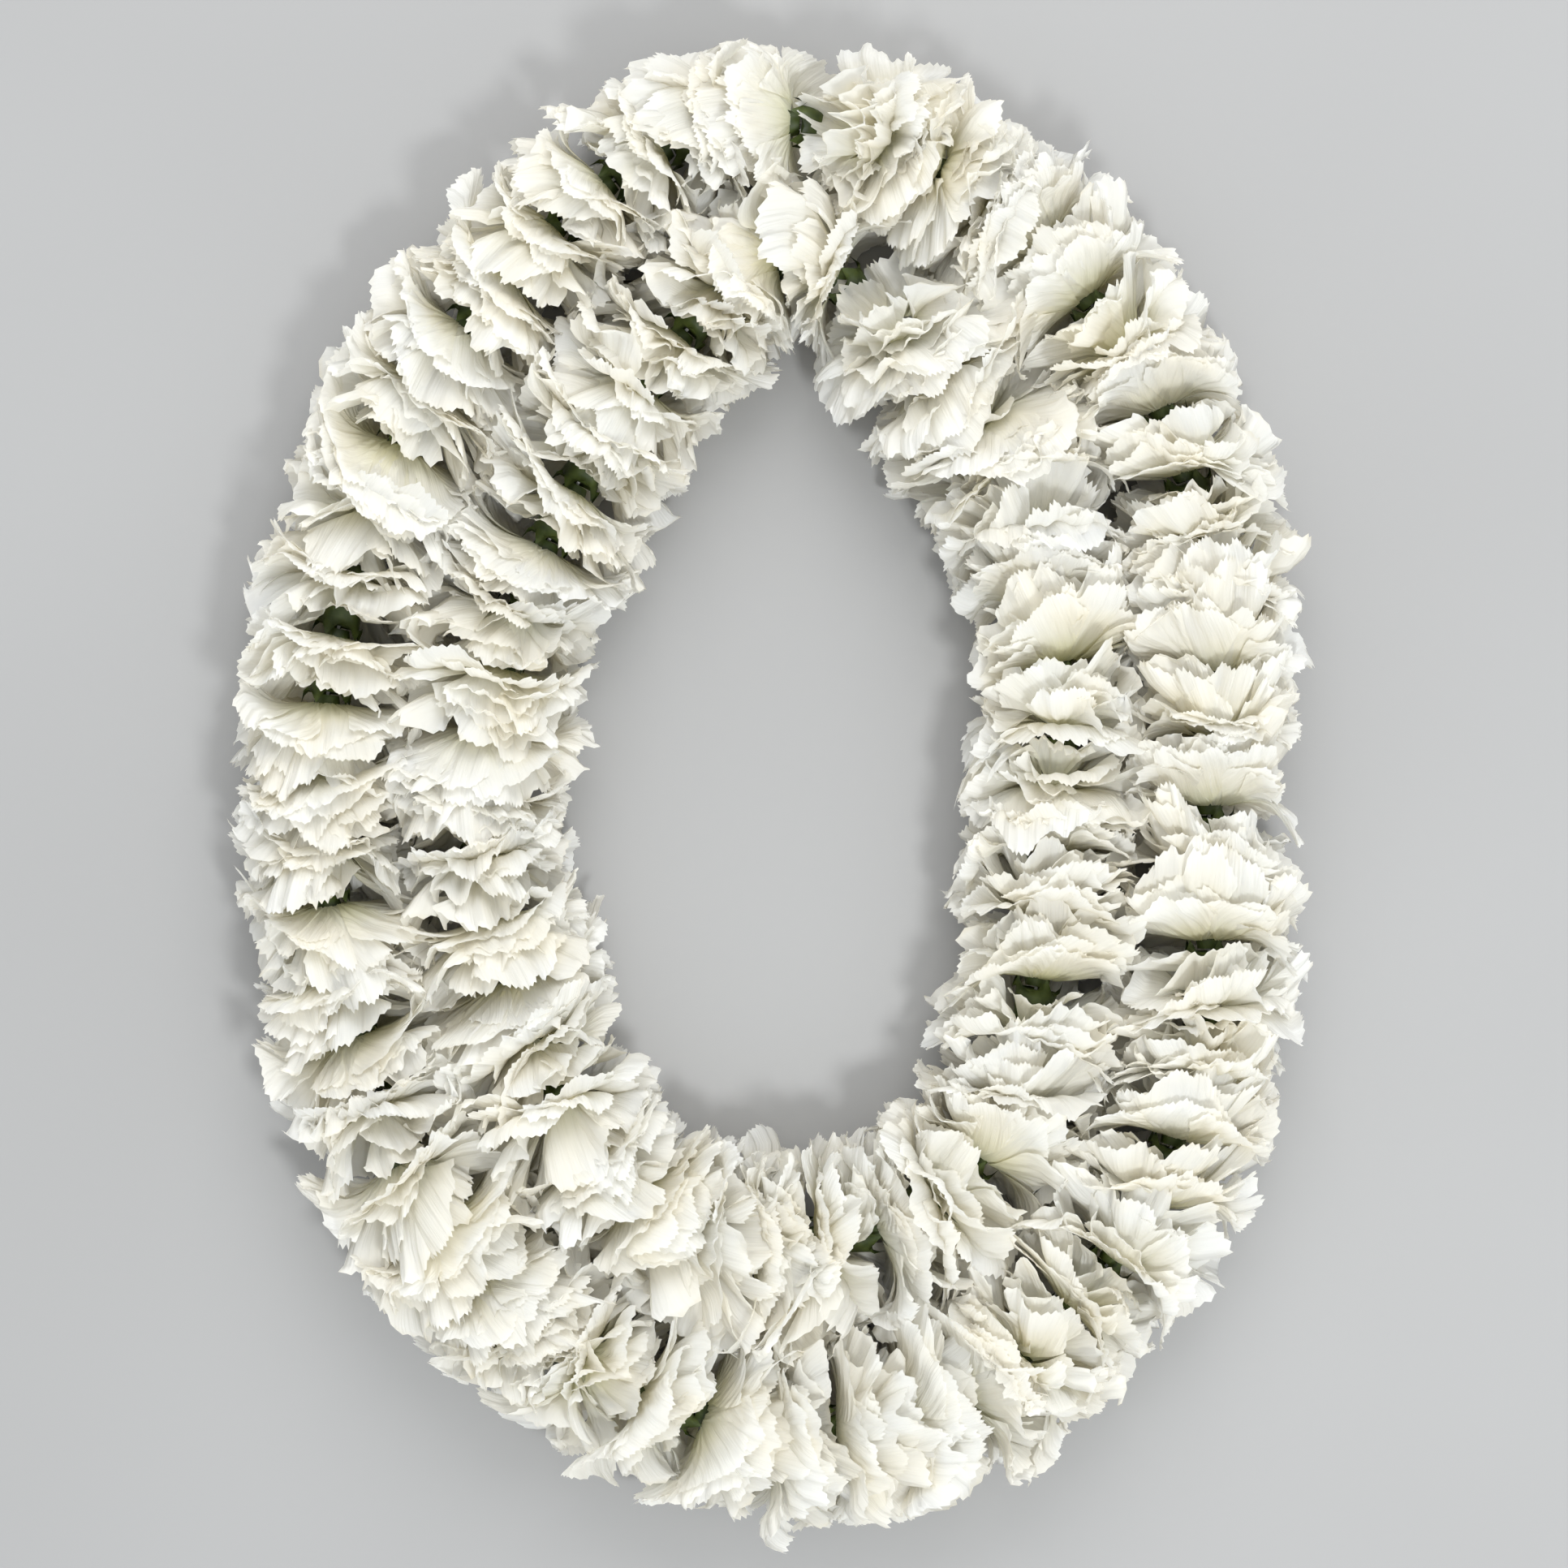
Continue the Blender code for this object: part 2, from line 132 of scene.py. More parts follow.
# How far single petals differ: their turn round the bloom, their roots' directions in degrees, their
# widths, how far they cross into the blooms behind and in front and into the other strand, how far
# their sides curl, and their twist.
TURNS = (-0.24, 0.24)
ROOTS = (-7, 7)
WIDTHS = (0.86, 1.1)
BEHIND = (0, 0.005)
BEYOND = (-0.001, 0.008)
ACROSS = (-0.002, 0.009)
SIDE_CURLS = (-0.0035, 0.0045)
TWISTS = (-0.22, 0.22)
ROLLS = (-0.75, 0.75)  # how far petals are rolled about their own middle line, above and below
SIDE_ROLLS = (0.6, 1.35)  # and at the sides, one way or the other
GUARD_ROLL = 0.4  # the share of it that the guard petals keep
SHARED_TINT = 0.6  # the share of a petal's tint that it has from its bloom
FRINGE = (-0.08, 0.20)  # how much further than the others the petals at the sides reach
LOOSE_SIDES = (0, 0.010)  # how much further they cross into the blooms behind and in front
BENT_BACK = (112, 160)  # the directions of the tips that bend back
BACK_STEP = 0.0035  # and how far back their rims lie
TIP_LIMITS = (5, 168)
CUPS = (0.0, 0.4, 0.8, 1.0)  # how far a bloom's upper guard petals stand forward, like a cup
CUPPED = 3  # the whorls that do so
CUP_TIPS = (10, 50)  # the directions of their tips in a full cup
CUP_RISE = 0.011
CUP_WIDE = 0.9  # how far a cup goes round the bloom, in radians
# The blooms that face up: their hearts, from this whorl on, are closed and their outer petals are
# spread, for the bloom's radius. Those cross further into the other strand and are rolled less.
HEART = 3
HEART_CLOSE = 0.74
FACE_SPREAD = 1.10
FACED_OVER = 0.008
FACED_ROLL = 0.3
BORDER_SWELL = 0.14  # how much further the petals reach into the other strand
HANDLE = 0.42  # how far the roots' and the tips' directions are kept, for the petal's length
TURN_BACK = 4200.0  # degrees that a guard petal's tip turns back for each metre that its rim does
SQUARE = (3.2, 0.7)  # the pressed blooms are squarer than an ellipse, most so between the strands
GUARD_RISE = 0.0065  # how far forward the guard petals' rims lie without their curl
GUARD_BACK = 0.0085  # how far back the curl takes them
CURLS = ((1, 0.0050), (2, 0.0042), (3, 0.0032), (5, 0.0014))  # waves round the bloom, and sizes
LEAST_ROOM = 0.006  # between a bloom's guard petals and those of the bloom in front
PRESSED_OVER = 0.004  # the depth over which the table and the other strand press petals flat
# The waved rim: how many waves over half a petal, and their sizes for its length. Its cuts.
RIM_WAVES = ((1.4, 0.034), (2.7, 0.028), (4.6, 0.016))
CUTS = 3
CUT_DEPTHS = (0.02, 0.09)
TOOTH = 0.0008
# How petals stand off their own middle line, each as the sizes and how many waves over half a petal.
BROAD_WAVES = (((0.0012, 0.0034), (0.7, 1.6)), ((0.0005, 0.0018), (1.8, 3.2)))
PLEATS = ((0.0001, 0.0009), (1.4, 2.8))
FRILLS = ((0.0003, 0.0008), (4.5, 6.5), (7.0, 9.5))
SAGS = (-0.0016, 0.0016)

# Camera and picture, from the photo: what the picture's middle shows, and how wide it is there.
VIEW_AT = (0.0061, 0.0015)
VIEW_HEIGHT = 0.027
VIEW_WIDTH = 0.5603
CAMERA_DISTANCE = 1.10
SENSOR = 36.0
MOST_BOUNCES = 7  # of the light between the petals
# Name, place, size, power and colour.
LIGHTS = (
    ("key", (0.40, -0.60, 1.2), 0.25, 8.5, (0.94, 0.975, 1.0)),
    ("fill", (0.1, 1.1, 1.1), 1.2, 12.0, (0.97, 0.98, 1.0)),
)
SKY = (0.925, 0.965, 1.0)
SKY_STRENGTH = 0.985
FLOOR_HALF = 3.0


def band():
    """The band's middle line as a smooth loop of points, each with the band's width as its z."""
    middle = Vector((*MIDDLE, 0))
    stations = [Vector(station) - middle for station in BAND]
    count = len(stations)
    points = []
    for i in range(count):
        before, start, end, after = (stations[(i + k) % count] for k in (-1, 0, 1, 2))
        for k in range(SPAN_POINTS):
            t = k / SPAN_POINTS
            points.append(
                0.5
                * (
                    2 * start
                    + (end - before) * t
                    + (2 * before - 5 * start + 4 * end - after) * t**2
                    + (3 * start - before - 3 * end + after) * t**3
                )
            )
    return points


def outward(points, i):
    """The direction out of the loop at one of its points."""
    along = points[(i + 1) % len(points)] - points[i - 1]
    return Vector((-along.y, along.x)).normalized() * -1


def evenly(points, step):
    """The loop's points read again at even steps, and the loop's length."""
    ends = points[1:] + points[:1]
    total = sum((b - a).length for a, b in zip(points, ends))
    count = round(total / step)
    read, walked, wanted = [], 0.0, 0.0
    for a, b in zip(points, ends):
        length = (b - a).length
        while wanted <= walked + length and len(read) < count:
            read.append(a.lerp(b, (wanted - walked) / length))
            wanted += total / count
        walked += length
    return read, total


def smoothed(points, times):
    for _ in range(times):
        count = len(points)
        points = [
            (points[i - 1] + points[i] * 2 + points[(i + 1) % count]) / 4 for i in range(count)
        ]
    return points


class Strand:
    """The route of one strand's thread, which many points can be read from at once."""

    def __init__(self, name, side, blooms, per_node, join_at, wide_open):
        loop = band()
        flat = [p.to_2d() for p in loop]
        route = []
        for i, p in enumerate(loop):
            at = flat[i] + outward(flat, i) * side * p.z * CENTRE_SHARE
            route.append(Vector((at.x, at.y, p.z / 4)))
        route, self.length = evenly(smoothed(route, SMOOTHING), STEP)
        self.route = np.array([tuple(p) for p in route])
        ahead = np.roll(self.route, -TANGENT, 0) - np.roll(self.route, TANGENT, 0)
        self.out = np.stack([ahead[:, 1], -ahead[:, 0]], 1)
        self.out /= np.linalg.norm(self.out, axis=1)[:, None]
        self.name = name
        self.side = side
        self.join_at = join_at
        self.spacing = (self.length - JOIN_GAP) / blooms
        self.count = blooms
        self.per_node = per_node
        self.wide_open = wide_open

    def place(self, s):
        """Centre, outward direction and half the strand's width at lengths s along it."""
        count = len(self.route)
        at = (np.asarray(s) / self.length * count) % count
        i = at.astype(int) % count
        j = (i + 1) % count
        t = (at - np.floor(at))[..., None]
        here = self.route[i] * (1 - t) + self.route[j] * t
        out = self.out[i] * (1 - t) + self.out[j] * t
        out = out / np.linalg.norm(out, axis=-1)[..., None]
        return here[..., :2], out, here[..., 2]

    def turned(self, s):
        """How far the blooms near s turn their faces up and outward, which drifts along it."""
        share = math.tau * s / self.length
        up = sum(size * math.sin(k * share + k * self.join_at) for k, size in FACING_UP)
        out = sum(size * math.sin(k * share + 3 * k * self.join_at) for k, size in FACING_OUT)
        return up, out * self.side

    def point(self, s, sideways, height):
        centre, out, _ = self.place(s)
        flat = centre + out * np.asarray(sideways)[..., None]
        height = np.broadcast_to(CENTRE_HEIGHT + np.asarray(height), flat.shape[:-1])
        return np.concatenate([flat, height[..., None]], -1)


class Bloom:
    """One carnation's place along its strand, and its own size, lean and waves."""

    def __init__(self, strand, index):
        self.strand = strand
        self.index = index
        draw = random.Random(f"{strand.name} {index}")
        self.s = strand.join_at + JOIN_GAP + (index + 0.5) * strand.spacing
        self.size = draw.uniform(*SIZE_RANGE)
        self.lean_side = draw.uniform(-LEAN, LEAN)
        self.lean_up = draw.uniform(-LEAN, LEAN)
        self.before_join = strand.count - 1 - index
        self.is_open = index in strand.wide_open
        self.faced = self.before_join < len(TURNED_UP)
        if self.faced:
            self.lean_up, self.size = TURNED_UP[self.before_join]
            self.is_open = self.before_join == 0
        self.turn = draw.uniform(0, math.tau / SIDES)
        second = index % strand.per_node == 1 and index // strand.per_node % PRESSED_EVERY == 0
        if second and not self.faced:
            self.turn = math.tau / SIDES / 2
            self.size = PRESSED_SIZE
        self.phases = [draw.uniform(0, math.tau) for _ in RUFFLES]
        self.half_width = float(strand.place(self.s)[2])
        self.reach = self.half_width * self.size
        # A bloom whose own calyx shows has a full cup, and one that faces up has none.
        self.shows = (index - 1) % strand.count in strand.wide_open
        self.cup = 1.0 if self.shows else draw.choice(CUPS)
        if self.faced:
            self.cup = 0.0
        self.back = GUARD_BACK * draw.uniform(0.6, 1.4)
        self.faces_up, self.faces_out = strand.turned(self.s)
        self.faces_up += PARTED * (self.is_open - self.shows)
        self.curls = [
            (k, size * draw.uniform(0.4, 1.0), draw.uniform(0, math.tau)) for k, size in CURLS
        ]
        self.tint = draw.uniform(0, 1)

    def guard(self, angle, radius):
        """How far forward the bloom's rearmost petals lie, at angles and radii."""
        share = np.clip((radius - CLAW_RADIUS) / (self.reach - CLAW_RADIUS), 0, 1.3)
        back = self.back + sum(size * np.sin(k * angle + phase) for k, size, phase in self.curls)
        cup = self.cup * on_top(angle, CUP_WIDE)
        rise = GUARD_RISE * share + CUP_RISE * cup * share**1.8
        return GUARD_FORWARD + rise - back * (1 - cup) * share**3.5

    def ruffle(self, angle, radius):
        share = np.clip((radius - CLAW_RADIUS) / (self.half_width - CLAW_RADIUS), 0, 1.3)
        return share * sum(
            size * np.sin(waves * angle + phase)
            for (waves, size), phase in zip(RUFFLES, self.phases)
        )

    def leant(self, sideways, height, forward):
        a, b = self.lean_up, self.lean_side
        forward, height = (
            forward * math.cos(a) - height * math.sin(a),
            forward * math.sin(a) + height * math.cos(a),
        )
        forward, sideways = (
            forward * math.cos(b) - sideways * math.sin(b),
            forward * math.sin(b) + sideways * math.cos(b),
        )
        return sideways, height, forward

    def world(self, angle, radius, forward):
        sideways = np.cos(angle) * radius
        height = np.sin(angle) * radius * BLOOM_HEIGHT / 2 / self.half_width
        sideways, height, forward = self.leant(sideways, height, forward)
        return self.strand.point(self.s + forward, sideways, height)


def on_top(angle, wide=0.55):
    """1 on top of a bloom, less to its sides, 0 at the bottom."""
    away = (angle - math.pi / 2 + math.pi) % math.tau - math.pi
    return np.exp(-((away / wide) ** 2))


def eased(x, margin):
    """Lengths above a wall at 0, where those nearer than the margin are pressed up against it."""
    near = margin * np.exp(np.minimum(x - margin, 0) / margin)
    return np.where(x < margin, near, x)


def within(x, low, high, margin):
    """x kept between two walls, pressed together within the margins."""
    x = low + eased(x - low, margin)
    return high - eased(high - x, margin)


def smooth_step(x):
    x = np.clip(x, 0, 1)
    return x * x * (3 - 2 * x)


def tangle(where, height):
    """How far the border between the strands is pushed to a side, at places and heights."""
    x, y = where[..., 0], where[..., 1]
    wave = np.sin(95 * x + 140 * height + 1.0) * np.sin(120 * y - 90 * height + 0.4)
    return 0.0065 * wave + 0.0025 * np.sin(260 * x + 60 * height) * np.sin(230 * y + 2.0)


class Petals:
    """The petals of one whorl, worked out together: arrays of petal by row by column."""

    def __init__(self, bloom, following, which, rng):
        self.bloom = bloom
        self.following = following
        self.which = which
        self.rng = rng
        count, rims, ahead, root, tips, bent, width, (self.columns, self.rows) = WHORLS[which]
        self.count = count
        reach = bloom.reach
        pick = rng.uniform

        def each(low, high):
            return pick(low, high, count)[:, None, None]

        places = bloom.turn + math.tau * (np.arange(count) + 0.5 * (which % 2)) / count
        self.angle = places[:, None, None] + each(*TURNS)
        gap = bloom.strand.spacing
        self.rim_radius = reach * each(*rims)
        back = each(0, 1) < bent
        self.tip = np.radians(np.where(back, each(*BENT_BACK), each(*tips)))
        # The rims lie between the bloom's own guard petals and those of the bloom in front.
        own = bloom.guard(self.angle, self.rim_radius)
        front = following.guard(self.angle, self.rim_radius)
        share = which / (len(WHORLS) - 1)
        self.rim_forward = gap * each(*ahead) + own * (1 - share) + front * share
        self.rim_forward -= np.where(back, BACK_STEP, 0)
        if which == 0:
            self.tip -= np.radians(TURN_BACK * own)
        top = on_top(self.angle)
        if which < CUPPED:
            cup = bloom.cup * on_top(self.angle, CUP_WIDE)
            self.tip += cup * (np.radians(each(*CUP_TIPS)) - self.tip)
        side = np.cos(self.angle) ** 2
        self.rim_radius *= 1 + side * each(*FRINGE)
        if bloom.faced:
            self.rim_radius *= HEART_CLOSE if which >= HEART else FACE_SPREAD
        if bloom.is_open and which > 1:
            self.rim_forward -= top**2 * OPEN_GAP * (which - 1) / 3
        self.tip = np.clip(self.tip, *np.radians(TIP_LIMITS))
        self.width = reach * width * each(*WIDTHS)
        self.root = np.radians(root + each(*ROOTS))
        self.behind = each(*BEHIND)
        self.beyond = each(*BEYOND)
        self.across = each(*ACROSS) + (FACED_OVER if bloom.faced else 0)
        self.curl = each(*SIDE_CURLS)
        turned = each(*ROLLS) * (GUARD_ROLL if which == 0 else 1.0)
        aside = each(*SIDE_ROLLS) * np.where(each(0, 1) < 0.5, 1, -1)
        self.roll = (turned * (1 - side) + aside * side) * (FACED_ROLL if bloom.faced else 1.0)
        self.behind += side * each(*LOOSE_SIDES)
        self.beyond += side * each(*LOOSE_SIDES)
        self.twist = each(*TWISTS)
        self.tint = SHARED_TINT * bloom.tint + (1 - SHARED_TINT) * each(0, 1)

    def outline(self, u):
        """The share of the petal's length that its waved rim leaves off, without the teeth."""
        rng, count = self.rng, self.count
        round_off = rng.uniform(0.22, 0.40, count)[:, None, None] * np.abs(u) ** 2.6
        for waves, size in RIM_WAVES:
            phase = rng.uniform(0, math.tau, count)[:, None, None]
            round_off = round_off + size * (1 + np.sin(math.pi * waves * u + phase)) / 2
        step = 2 / self.columns
        for _ in range(CUTS):
            deep = rng.uniform(*CUT_DEPTHS, count) * (rng.uniform(0, 1, count) < 0.75)
            at = np.round(rng.uniform(-0.85, 0.85, count) / step) * step
            near = 1 - np.abs(u - at[:, None, None]) / (1.5 * step)
            round_off = round_off + deep[:, None, None] * np.clip(near, 0, 1)
        return round_off

    def teeth(self, u):
        """The pinked rim: what it adds to and takes from the outline, by column."""
        rng = self.rng
        k = np.arange(u.shape[-1])
        size = rng.uniform(0.2, 1.0, (self.count, 1, len(k)))
        return np.where(k % 2, -1, 1) * size * TOOTH / self.rim_radius

    def folds(self, u, t):
        """How far the blade stands off its own middle line: broad waves, and pleats."""
        rng, count = self.rng, self.count

        def drawn(low, high):
            return rng.uniform(low, high, count)[:, None, None]

        def waved(often, across):
            return np.sin(math.pi * drawn(*often) * across + drawn(0, 6.28))

        inner = 1 + 0.25 * self.which
        waves = sum(drawn(*sizes) * waved(often, u) for sizes, often in BROAD_WAVES)
        pleat = 1 - 2 * np.abs(waved(PLEATS[1], u))
        pleats = drawn(*PLEATS[0]) * pleat * np.sqrt(t)
        drift = drawn(-0.12, 0.12) * t
        frills = waved(FRILLS[1], u + drift)
        frills += 0.6 * waved(FRILLS[2], u)
        rim = drawn(*FRILLS[0]) * frills * smooth_step((t - 0.30) / 0.6)
        sag = drawn(*SAGS) * np.sin(math.pi * t * drawn(0.9, 1.6))
        return inner * waves * t**1.6 + sag + self.curl * u**2 * t**1.5, pleats + rim

    def points(self):
        """Places, and the three numbers and two coordinates that the material reads."""
        bloom, rows, columns = self.bloom, self.rows, self.columns
        u = np.linspace(-1, 1, 2 * columns + 1)[None, None, :]
        steps = np.append(0.02 + 0.92 * (np.arange(rows) / (rows - 1)) ** 0.85, 1.0)
        t = steps[None, :, None] * (1 - self.outline(u))
        t = np.concatenate([t[:, :-1], t[:, -1:] + self.teeth(u)], 1)
        radius, forward, turn = self.profile(t)
        spread = 0.10 + 0.90 * smooth_step(t / 0.95 + 0.05) ** 0.8
        aside = u * self.width * spread
        turned = np.cos(self.roll) * aside / np.maximum(radius, self.width * 0.62)
        angle = self.angle + turned + self.twist * t
        off, pleats = self.folds(u, t)
        radius = radius + off * np.cos(turn)
        forward = forward - off * np.sin(turn) + np.sin(self.roll) * aside * t
        forward = forward + bloom.ruffle(angle, radius) * 0.8
        neck = CLAW_RADIUS + 0.0025 * np.clip(forward / bloom.strand.spacing, 0, 1)
        radius = eased(radius - neck, 0.002) + neck
        # What the neighbours stop slides outward.
        kept = self.kept(angle, radius, forward)
        radius = radius + 0.6 * np.abs(forward - kept) * np.clip(1.1 - radius / bloom.reach, 0, 1)
        forward = self.kept(angle, radius, kept) - pleats * np.sin(turn)
        radius = radius + pleats * np.cos(turn)
        across, up = np.cos(angle), np.sin(angle)
        share = np.clip(radius / bloom.reach, 0, 1) ** 2
        power = SQUARE[0] - SQUARE[1] * across * bloom.strand.side
        square = (np.abs(across) ** power + np.abs(up) ** power) ** (-1 / power)
        border = np.clip(-across * bloom.strand.side, 0, 1) * BORDER_SWELL
        radius = radius * (1 + (square - 1 + border) * share)
        sideways, height, forward = bloom.leant(
            across * radius, up * radius * BLOOM_HEIGHT / 2 / bloom.half_width, forward
        )
        faced = height * bloom.faces_up + sideways * bloom.faces_out
        forward = forward - faced * np.clip(radius / bloom.reach * 1.6 - 0.3, 0, 1)
        outside = smooth_step(bloom.strand.side * sideways / OUTWARD_OVER)
        sideways = sideways * (1 + (OUTWARD - 1) * outside)
        sideways, height = self.pressed(sideways, height, forward)
        places = bloom.strand.point(bloom.s + forward, sideways, height)
        tint = np.broadcast_to(self.tint, t.shape)
        depth = np.broadcast_to(self.which / (len(WHORLS) - 1), t.shape)
        sheet = np.stack([np.broadcast_to(u, t.shape) * self.width * spread / 0.02, t], -1)
        return places, np.stack([np.clip(t, 0, 1), tint, depth], -1), sheet

    def profile(self, t):
        """Radius and forward place along each petal's middle line, and its direction there."""
        start = np.array([CLAW_RADIUS + 0.0004, CLAW_FORWARD + 0.0008 * self.which])
        rim = np.stack([self.rim_radius, self.rim_forward], -1)
        length = np.linalg.norm(rim - start, axis=-1, keepdims=True)

        def toward(direction):
            return HANDLE * length * np.stack([np.sin(direction), np.cos(direction)], -1)

        a, d = start + toward(self.root), rim - toward(self.tip)
        t = t[..., None]
        at = start * (1 - t) ** 3 + 3 * a * t * (1 - t) ** 2 + 3 * d * t**2 * (1 - t) + rim * t**3
        run = (a - start) * (1 - t) ** 2 + 2 * (d - a) * t * (1 - t) + (rim - d) * t**2
        return at[..., 0], at[..., 1], np.arctan2(run[..., 0], run[..., 1])

    def kept(self, angle, radius, forward):
        """The forward place, kept off the guard petals and off the bloom in front."""
        bloom, following = self.bloom, self.following
        out = np.clip(radius / bloom.reach, 0, 1) ** 3
        low = bloom.guard(angle, radius) - self.behind * out
        gap = bloom.strand.spacing + (JOIN_GAP if bloom.before_join == 0 else 0)
        height = np.sin(angle) * radius * BLOOM_HEIGHT / 2 / bloom.half_width
        turned = height * (math.sin(bloom.lean_up) - math.sin(following.lean_up))
        high = gap + following.guard(angle, radius) - BLOOMS_APART + turned
        if bloom.is_open:
            high = high - on_top(angle) ** 2 * (self.beyond * out + OPEN_GAP)
        if bloom.before_join == 0:
            high = high + JOIN_ROOM
        high = np.maximum(high + self.beyond * out, low + LEAST_ROOM)
        margin = np.minimum(0.005, (high - low) * 0.3)
        return within(forward, low, high, margin)

    def pressed(self, sideways, height, forward):
        """Petals flattened by the table and by the other strand."""
        bloom = self.bloom
        floor = -CENTRE_HEIGHT + 0.0004 + 0.00015 * self.which
        height = floor + eased(height - floor, PRESSED_OVER)
        strand = bloom.strand
        centre, out, half = strand.place(bloom.s + forward)
        where = centre + out * sideways[..., None]
        crossing = self.across * np.clip(height / 0.02 + 0.5, 0, 1) + tangle(where, height)
        room = half * 4 * CENTRE_SHARE + strand.side * sideways + crossing
        sideways = sideways + strand.side * (eased(room, PRESSED_OVER) - room)
        return sideways, height


def petal_faces(count, rows, columns, first):
    """The points to keep of a fine grid, and its faces: a coarse blade with a finer rim."""
    wide = 2 * columns + 1
    keep = np.zeros((rows + 1, wide), bool)
    keep[:-1, ::2] = True
    keep[-1] = True
    number = np.full(keep.shape, -1)
    number[keep] = np.arange(keep.sum())
    blade = number[:-1, ::2]
    a, b = blade[:-1, :-1].ravel(), blade[:-1, 1:].ravel()
    c, d = blade[1:, 1:].ravel(), blade[1:, :-1].ravel()
    faces = [np.stack([a, b, c], 1), np.stack([a, c, d], 1)]
    low, rim = blade[-1], number[-1]
    faces.append(np.stack([low[:-1], rim[1:-1:2], rim[:-2:2]], 1))
    faces.append(np.stack([low[:-1], low[1:], rim[1:-1:2]], 1))
    faces.append(np.stack([low[1:], rim[2::2], rim[1:-1:2]], 1))
    one = np.concatenate(faces)
    shift = (np.arange(count) * keep.sum())[:, None, None] + first
    return keep, (one[None] + shift).reshape(-1, 3)


def new_mesh(name, places, faces, smooth=True):
    """An object from points and faces that all have the same number of corners."""
    made = bpy.data.meshes.new(name)
    made.vertices.add(len(places))
    made.vertices.foreach_set("co", places.astype(np.float32).ravel())
    made.loops.add(faces.size)
    made.loops.foreach_set("vertex_index", faces.astype(np.int32).ravel())
    made.polygons.add(len(faces))
    made.polygons.foreach_set("loop_start", np.arange(0, faces.size, faces.shape[1], dtype=np.int32))
    made.update(calc_edges=True)
    made.validate()
    made.polygons.foreach_set("use_smooth", np.full(len(made.polygons), smooth))
    obj = bpy.data.objects.new(name, made)
    bpy.context.scene.collection.objects.link(obj)
    return obj


def petals_piece(name, pairs, number):
    """All the petals of a node's blooms as one mesh, with what the material reads at its points."""
    places, numbers, sheets, faces = [], [], [], []
    first = 0
    for bloom, following in pairs:
        rng = np.random.default_rng([number, bloom.index])
        for which in range(len(WHORLS)):
            petals = Petals(bloom, following, which, rng)
            at, read, sheet = petals.points()
            keep, made = petal_faces(petals.count, petals.rows, petals.columns, first)
            places.append(at[:, keep].reshape(-1, 3))
            numbers.append(read[:, keep].reshape(-1, 3))
            sheets.append(sheet[:, keep].reshape(-1, 2))
            faces.append(made)
            first += petals.count * keep.sum()
    faces = np.concatenate(faces)
    obj = new_mesh(name, np.concatenate(places), faces)
    numbers = np.concatenate(numbers)
    colour = obj.data.color_attributes.new("petal", "FLOAT_COLOR", "POINT")
    colour.data.foreach_set("color", np.c_[numbers, np.ones(len(numbers))].astype(np.float32).ravel())
    layer = obj.data.uv_layers.new(name="sheet")
    corners = np.zeros(len(obj.data.loops), np.int32)
    obj.data.loops.foreach_get("vertex_index", corners)
    layer.data.foreach_set("uv", np.concatenate(sheets)[corners].astype(np.float32).ravel())
    return obj


def calyx_piece(name, blooms, follows):
    """The green cups of a node's blooms, each with five ribs and five pointed lobes."""
    around, places, faces = 20, [], []
    angle = math.tau * np.arange(around) / around
    behind = follows
    first = 0
    for bloom in blooms:
        rows = []
        holder, start = (bloom, -FIRST_CALYX) if bloom.index == 0 else (behind, NECK_FORWARD)
        neck = holder.world(angle, CALYX_NECK, start)
        for share in (0.0, 0.12, 0.3, 0.5, 0.7, 0.86, 1.0):
            rib = 1 + RIBS * np.cos(5 * angle) * share
            radius = (CALYX_NECK + (CALYX_MOUTH - CALYX_NECK) * share**0.8) * rib
            mouth = bloom.world(angle, radius, np.zeros(around))
            base = holder.world(angle, radius, np.full(around, start))
            bulge = 0.0007 * math.sin(math.pi * share)
            row = base * (1 - share) + mouth * share
            row[:, 2] += bulge * np.sin(angle)
            rows.append(row if share else neck)
        lobe = np.maximum(np.cos(5 * angle), -0.3)
        for reach, widen in LOBE_RINGS:
            out = CALYX_MOUTH * (1 + RIBS * np.cos(5 * angle)) + widen
            rows.append(bloom.world(angle, out, reach * lobe))
        grid = np.arange(len(rows) * around).reshape(len(rows), around) + first
        a, b = grid[:-1], np.roll(grid[:-1], -1, 1)
        c, d = np.roll(grid[1:], -1, 1), grid[1:]
        faces.append(np.stack([a, b, c, d], -1).reshape(-1, 4))
        places += rows
        first += len(rows) * around
        behind = bloom
    return new_mesh(name, np.concatenate(places), np.concatenate(faces))


def thread_piece(name, strand, blooms):
    """The strand's thread through every calyx, with the knot that ties its ends."""
    route = [bloom.world(0, 0, NECK_FORWARD) for bloom in blooms]
    knot = len(route) + 1
    route += [strand.point(blooms[-1].s + ahead, 0, 0) for ahead in KNOT_AT]
    route.append(blooms[0].world(0, 0, -FIRST_CALYX))
    curve = bpy.data.curves.new(name, "CURVE")
    curve.dimensions = "3D"
    curve.bevel_depth = THREAD
    curve.bevel_resolution = 2
    spline = curve.splines.new("POLY")
    spline.points.add(len(route) - 1)
    spline.use_cyclic_u = True
    for point, at in zip(spline.points, route):
        point.co = (*at, 1)
    spline.points[knot].radius = KNOT / THREAD
    guide = bpy.data.objects.new(name + "_guide", curve)
    bpy.context.scene.collection.objects.link(guide)
    bpy.context.view_layer.update()
    made = bpy.data.meshes.new_from_object(guide.evaluated_get(bpy.context.evaluated_depsgraph_get()))
    bpy.data.objects.remove(guide)
    made.name = name
    made.shade_smooth()
    obj = bpy.data.objects.new(name, made)
    bpy.context.scene.collection.objects.link(obj)
    return obj


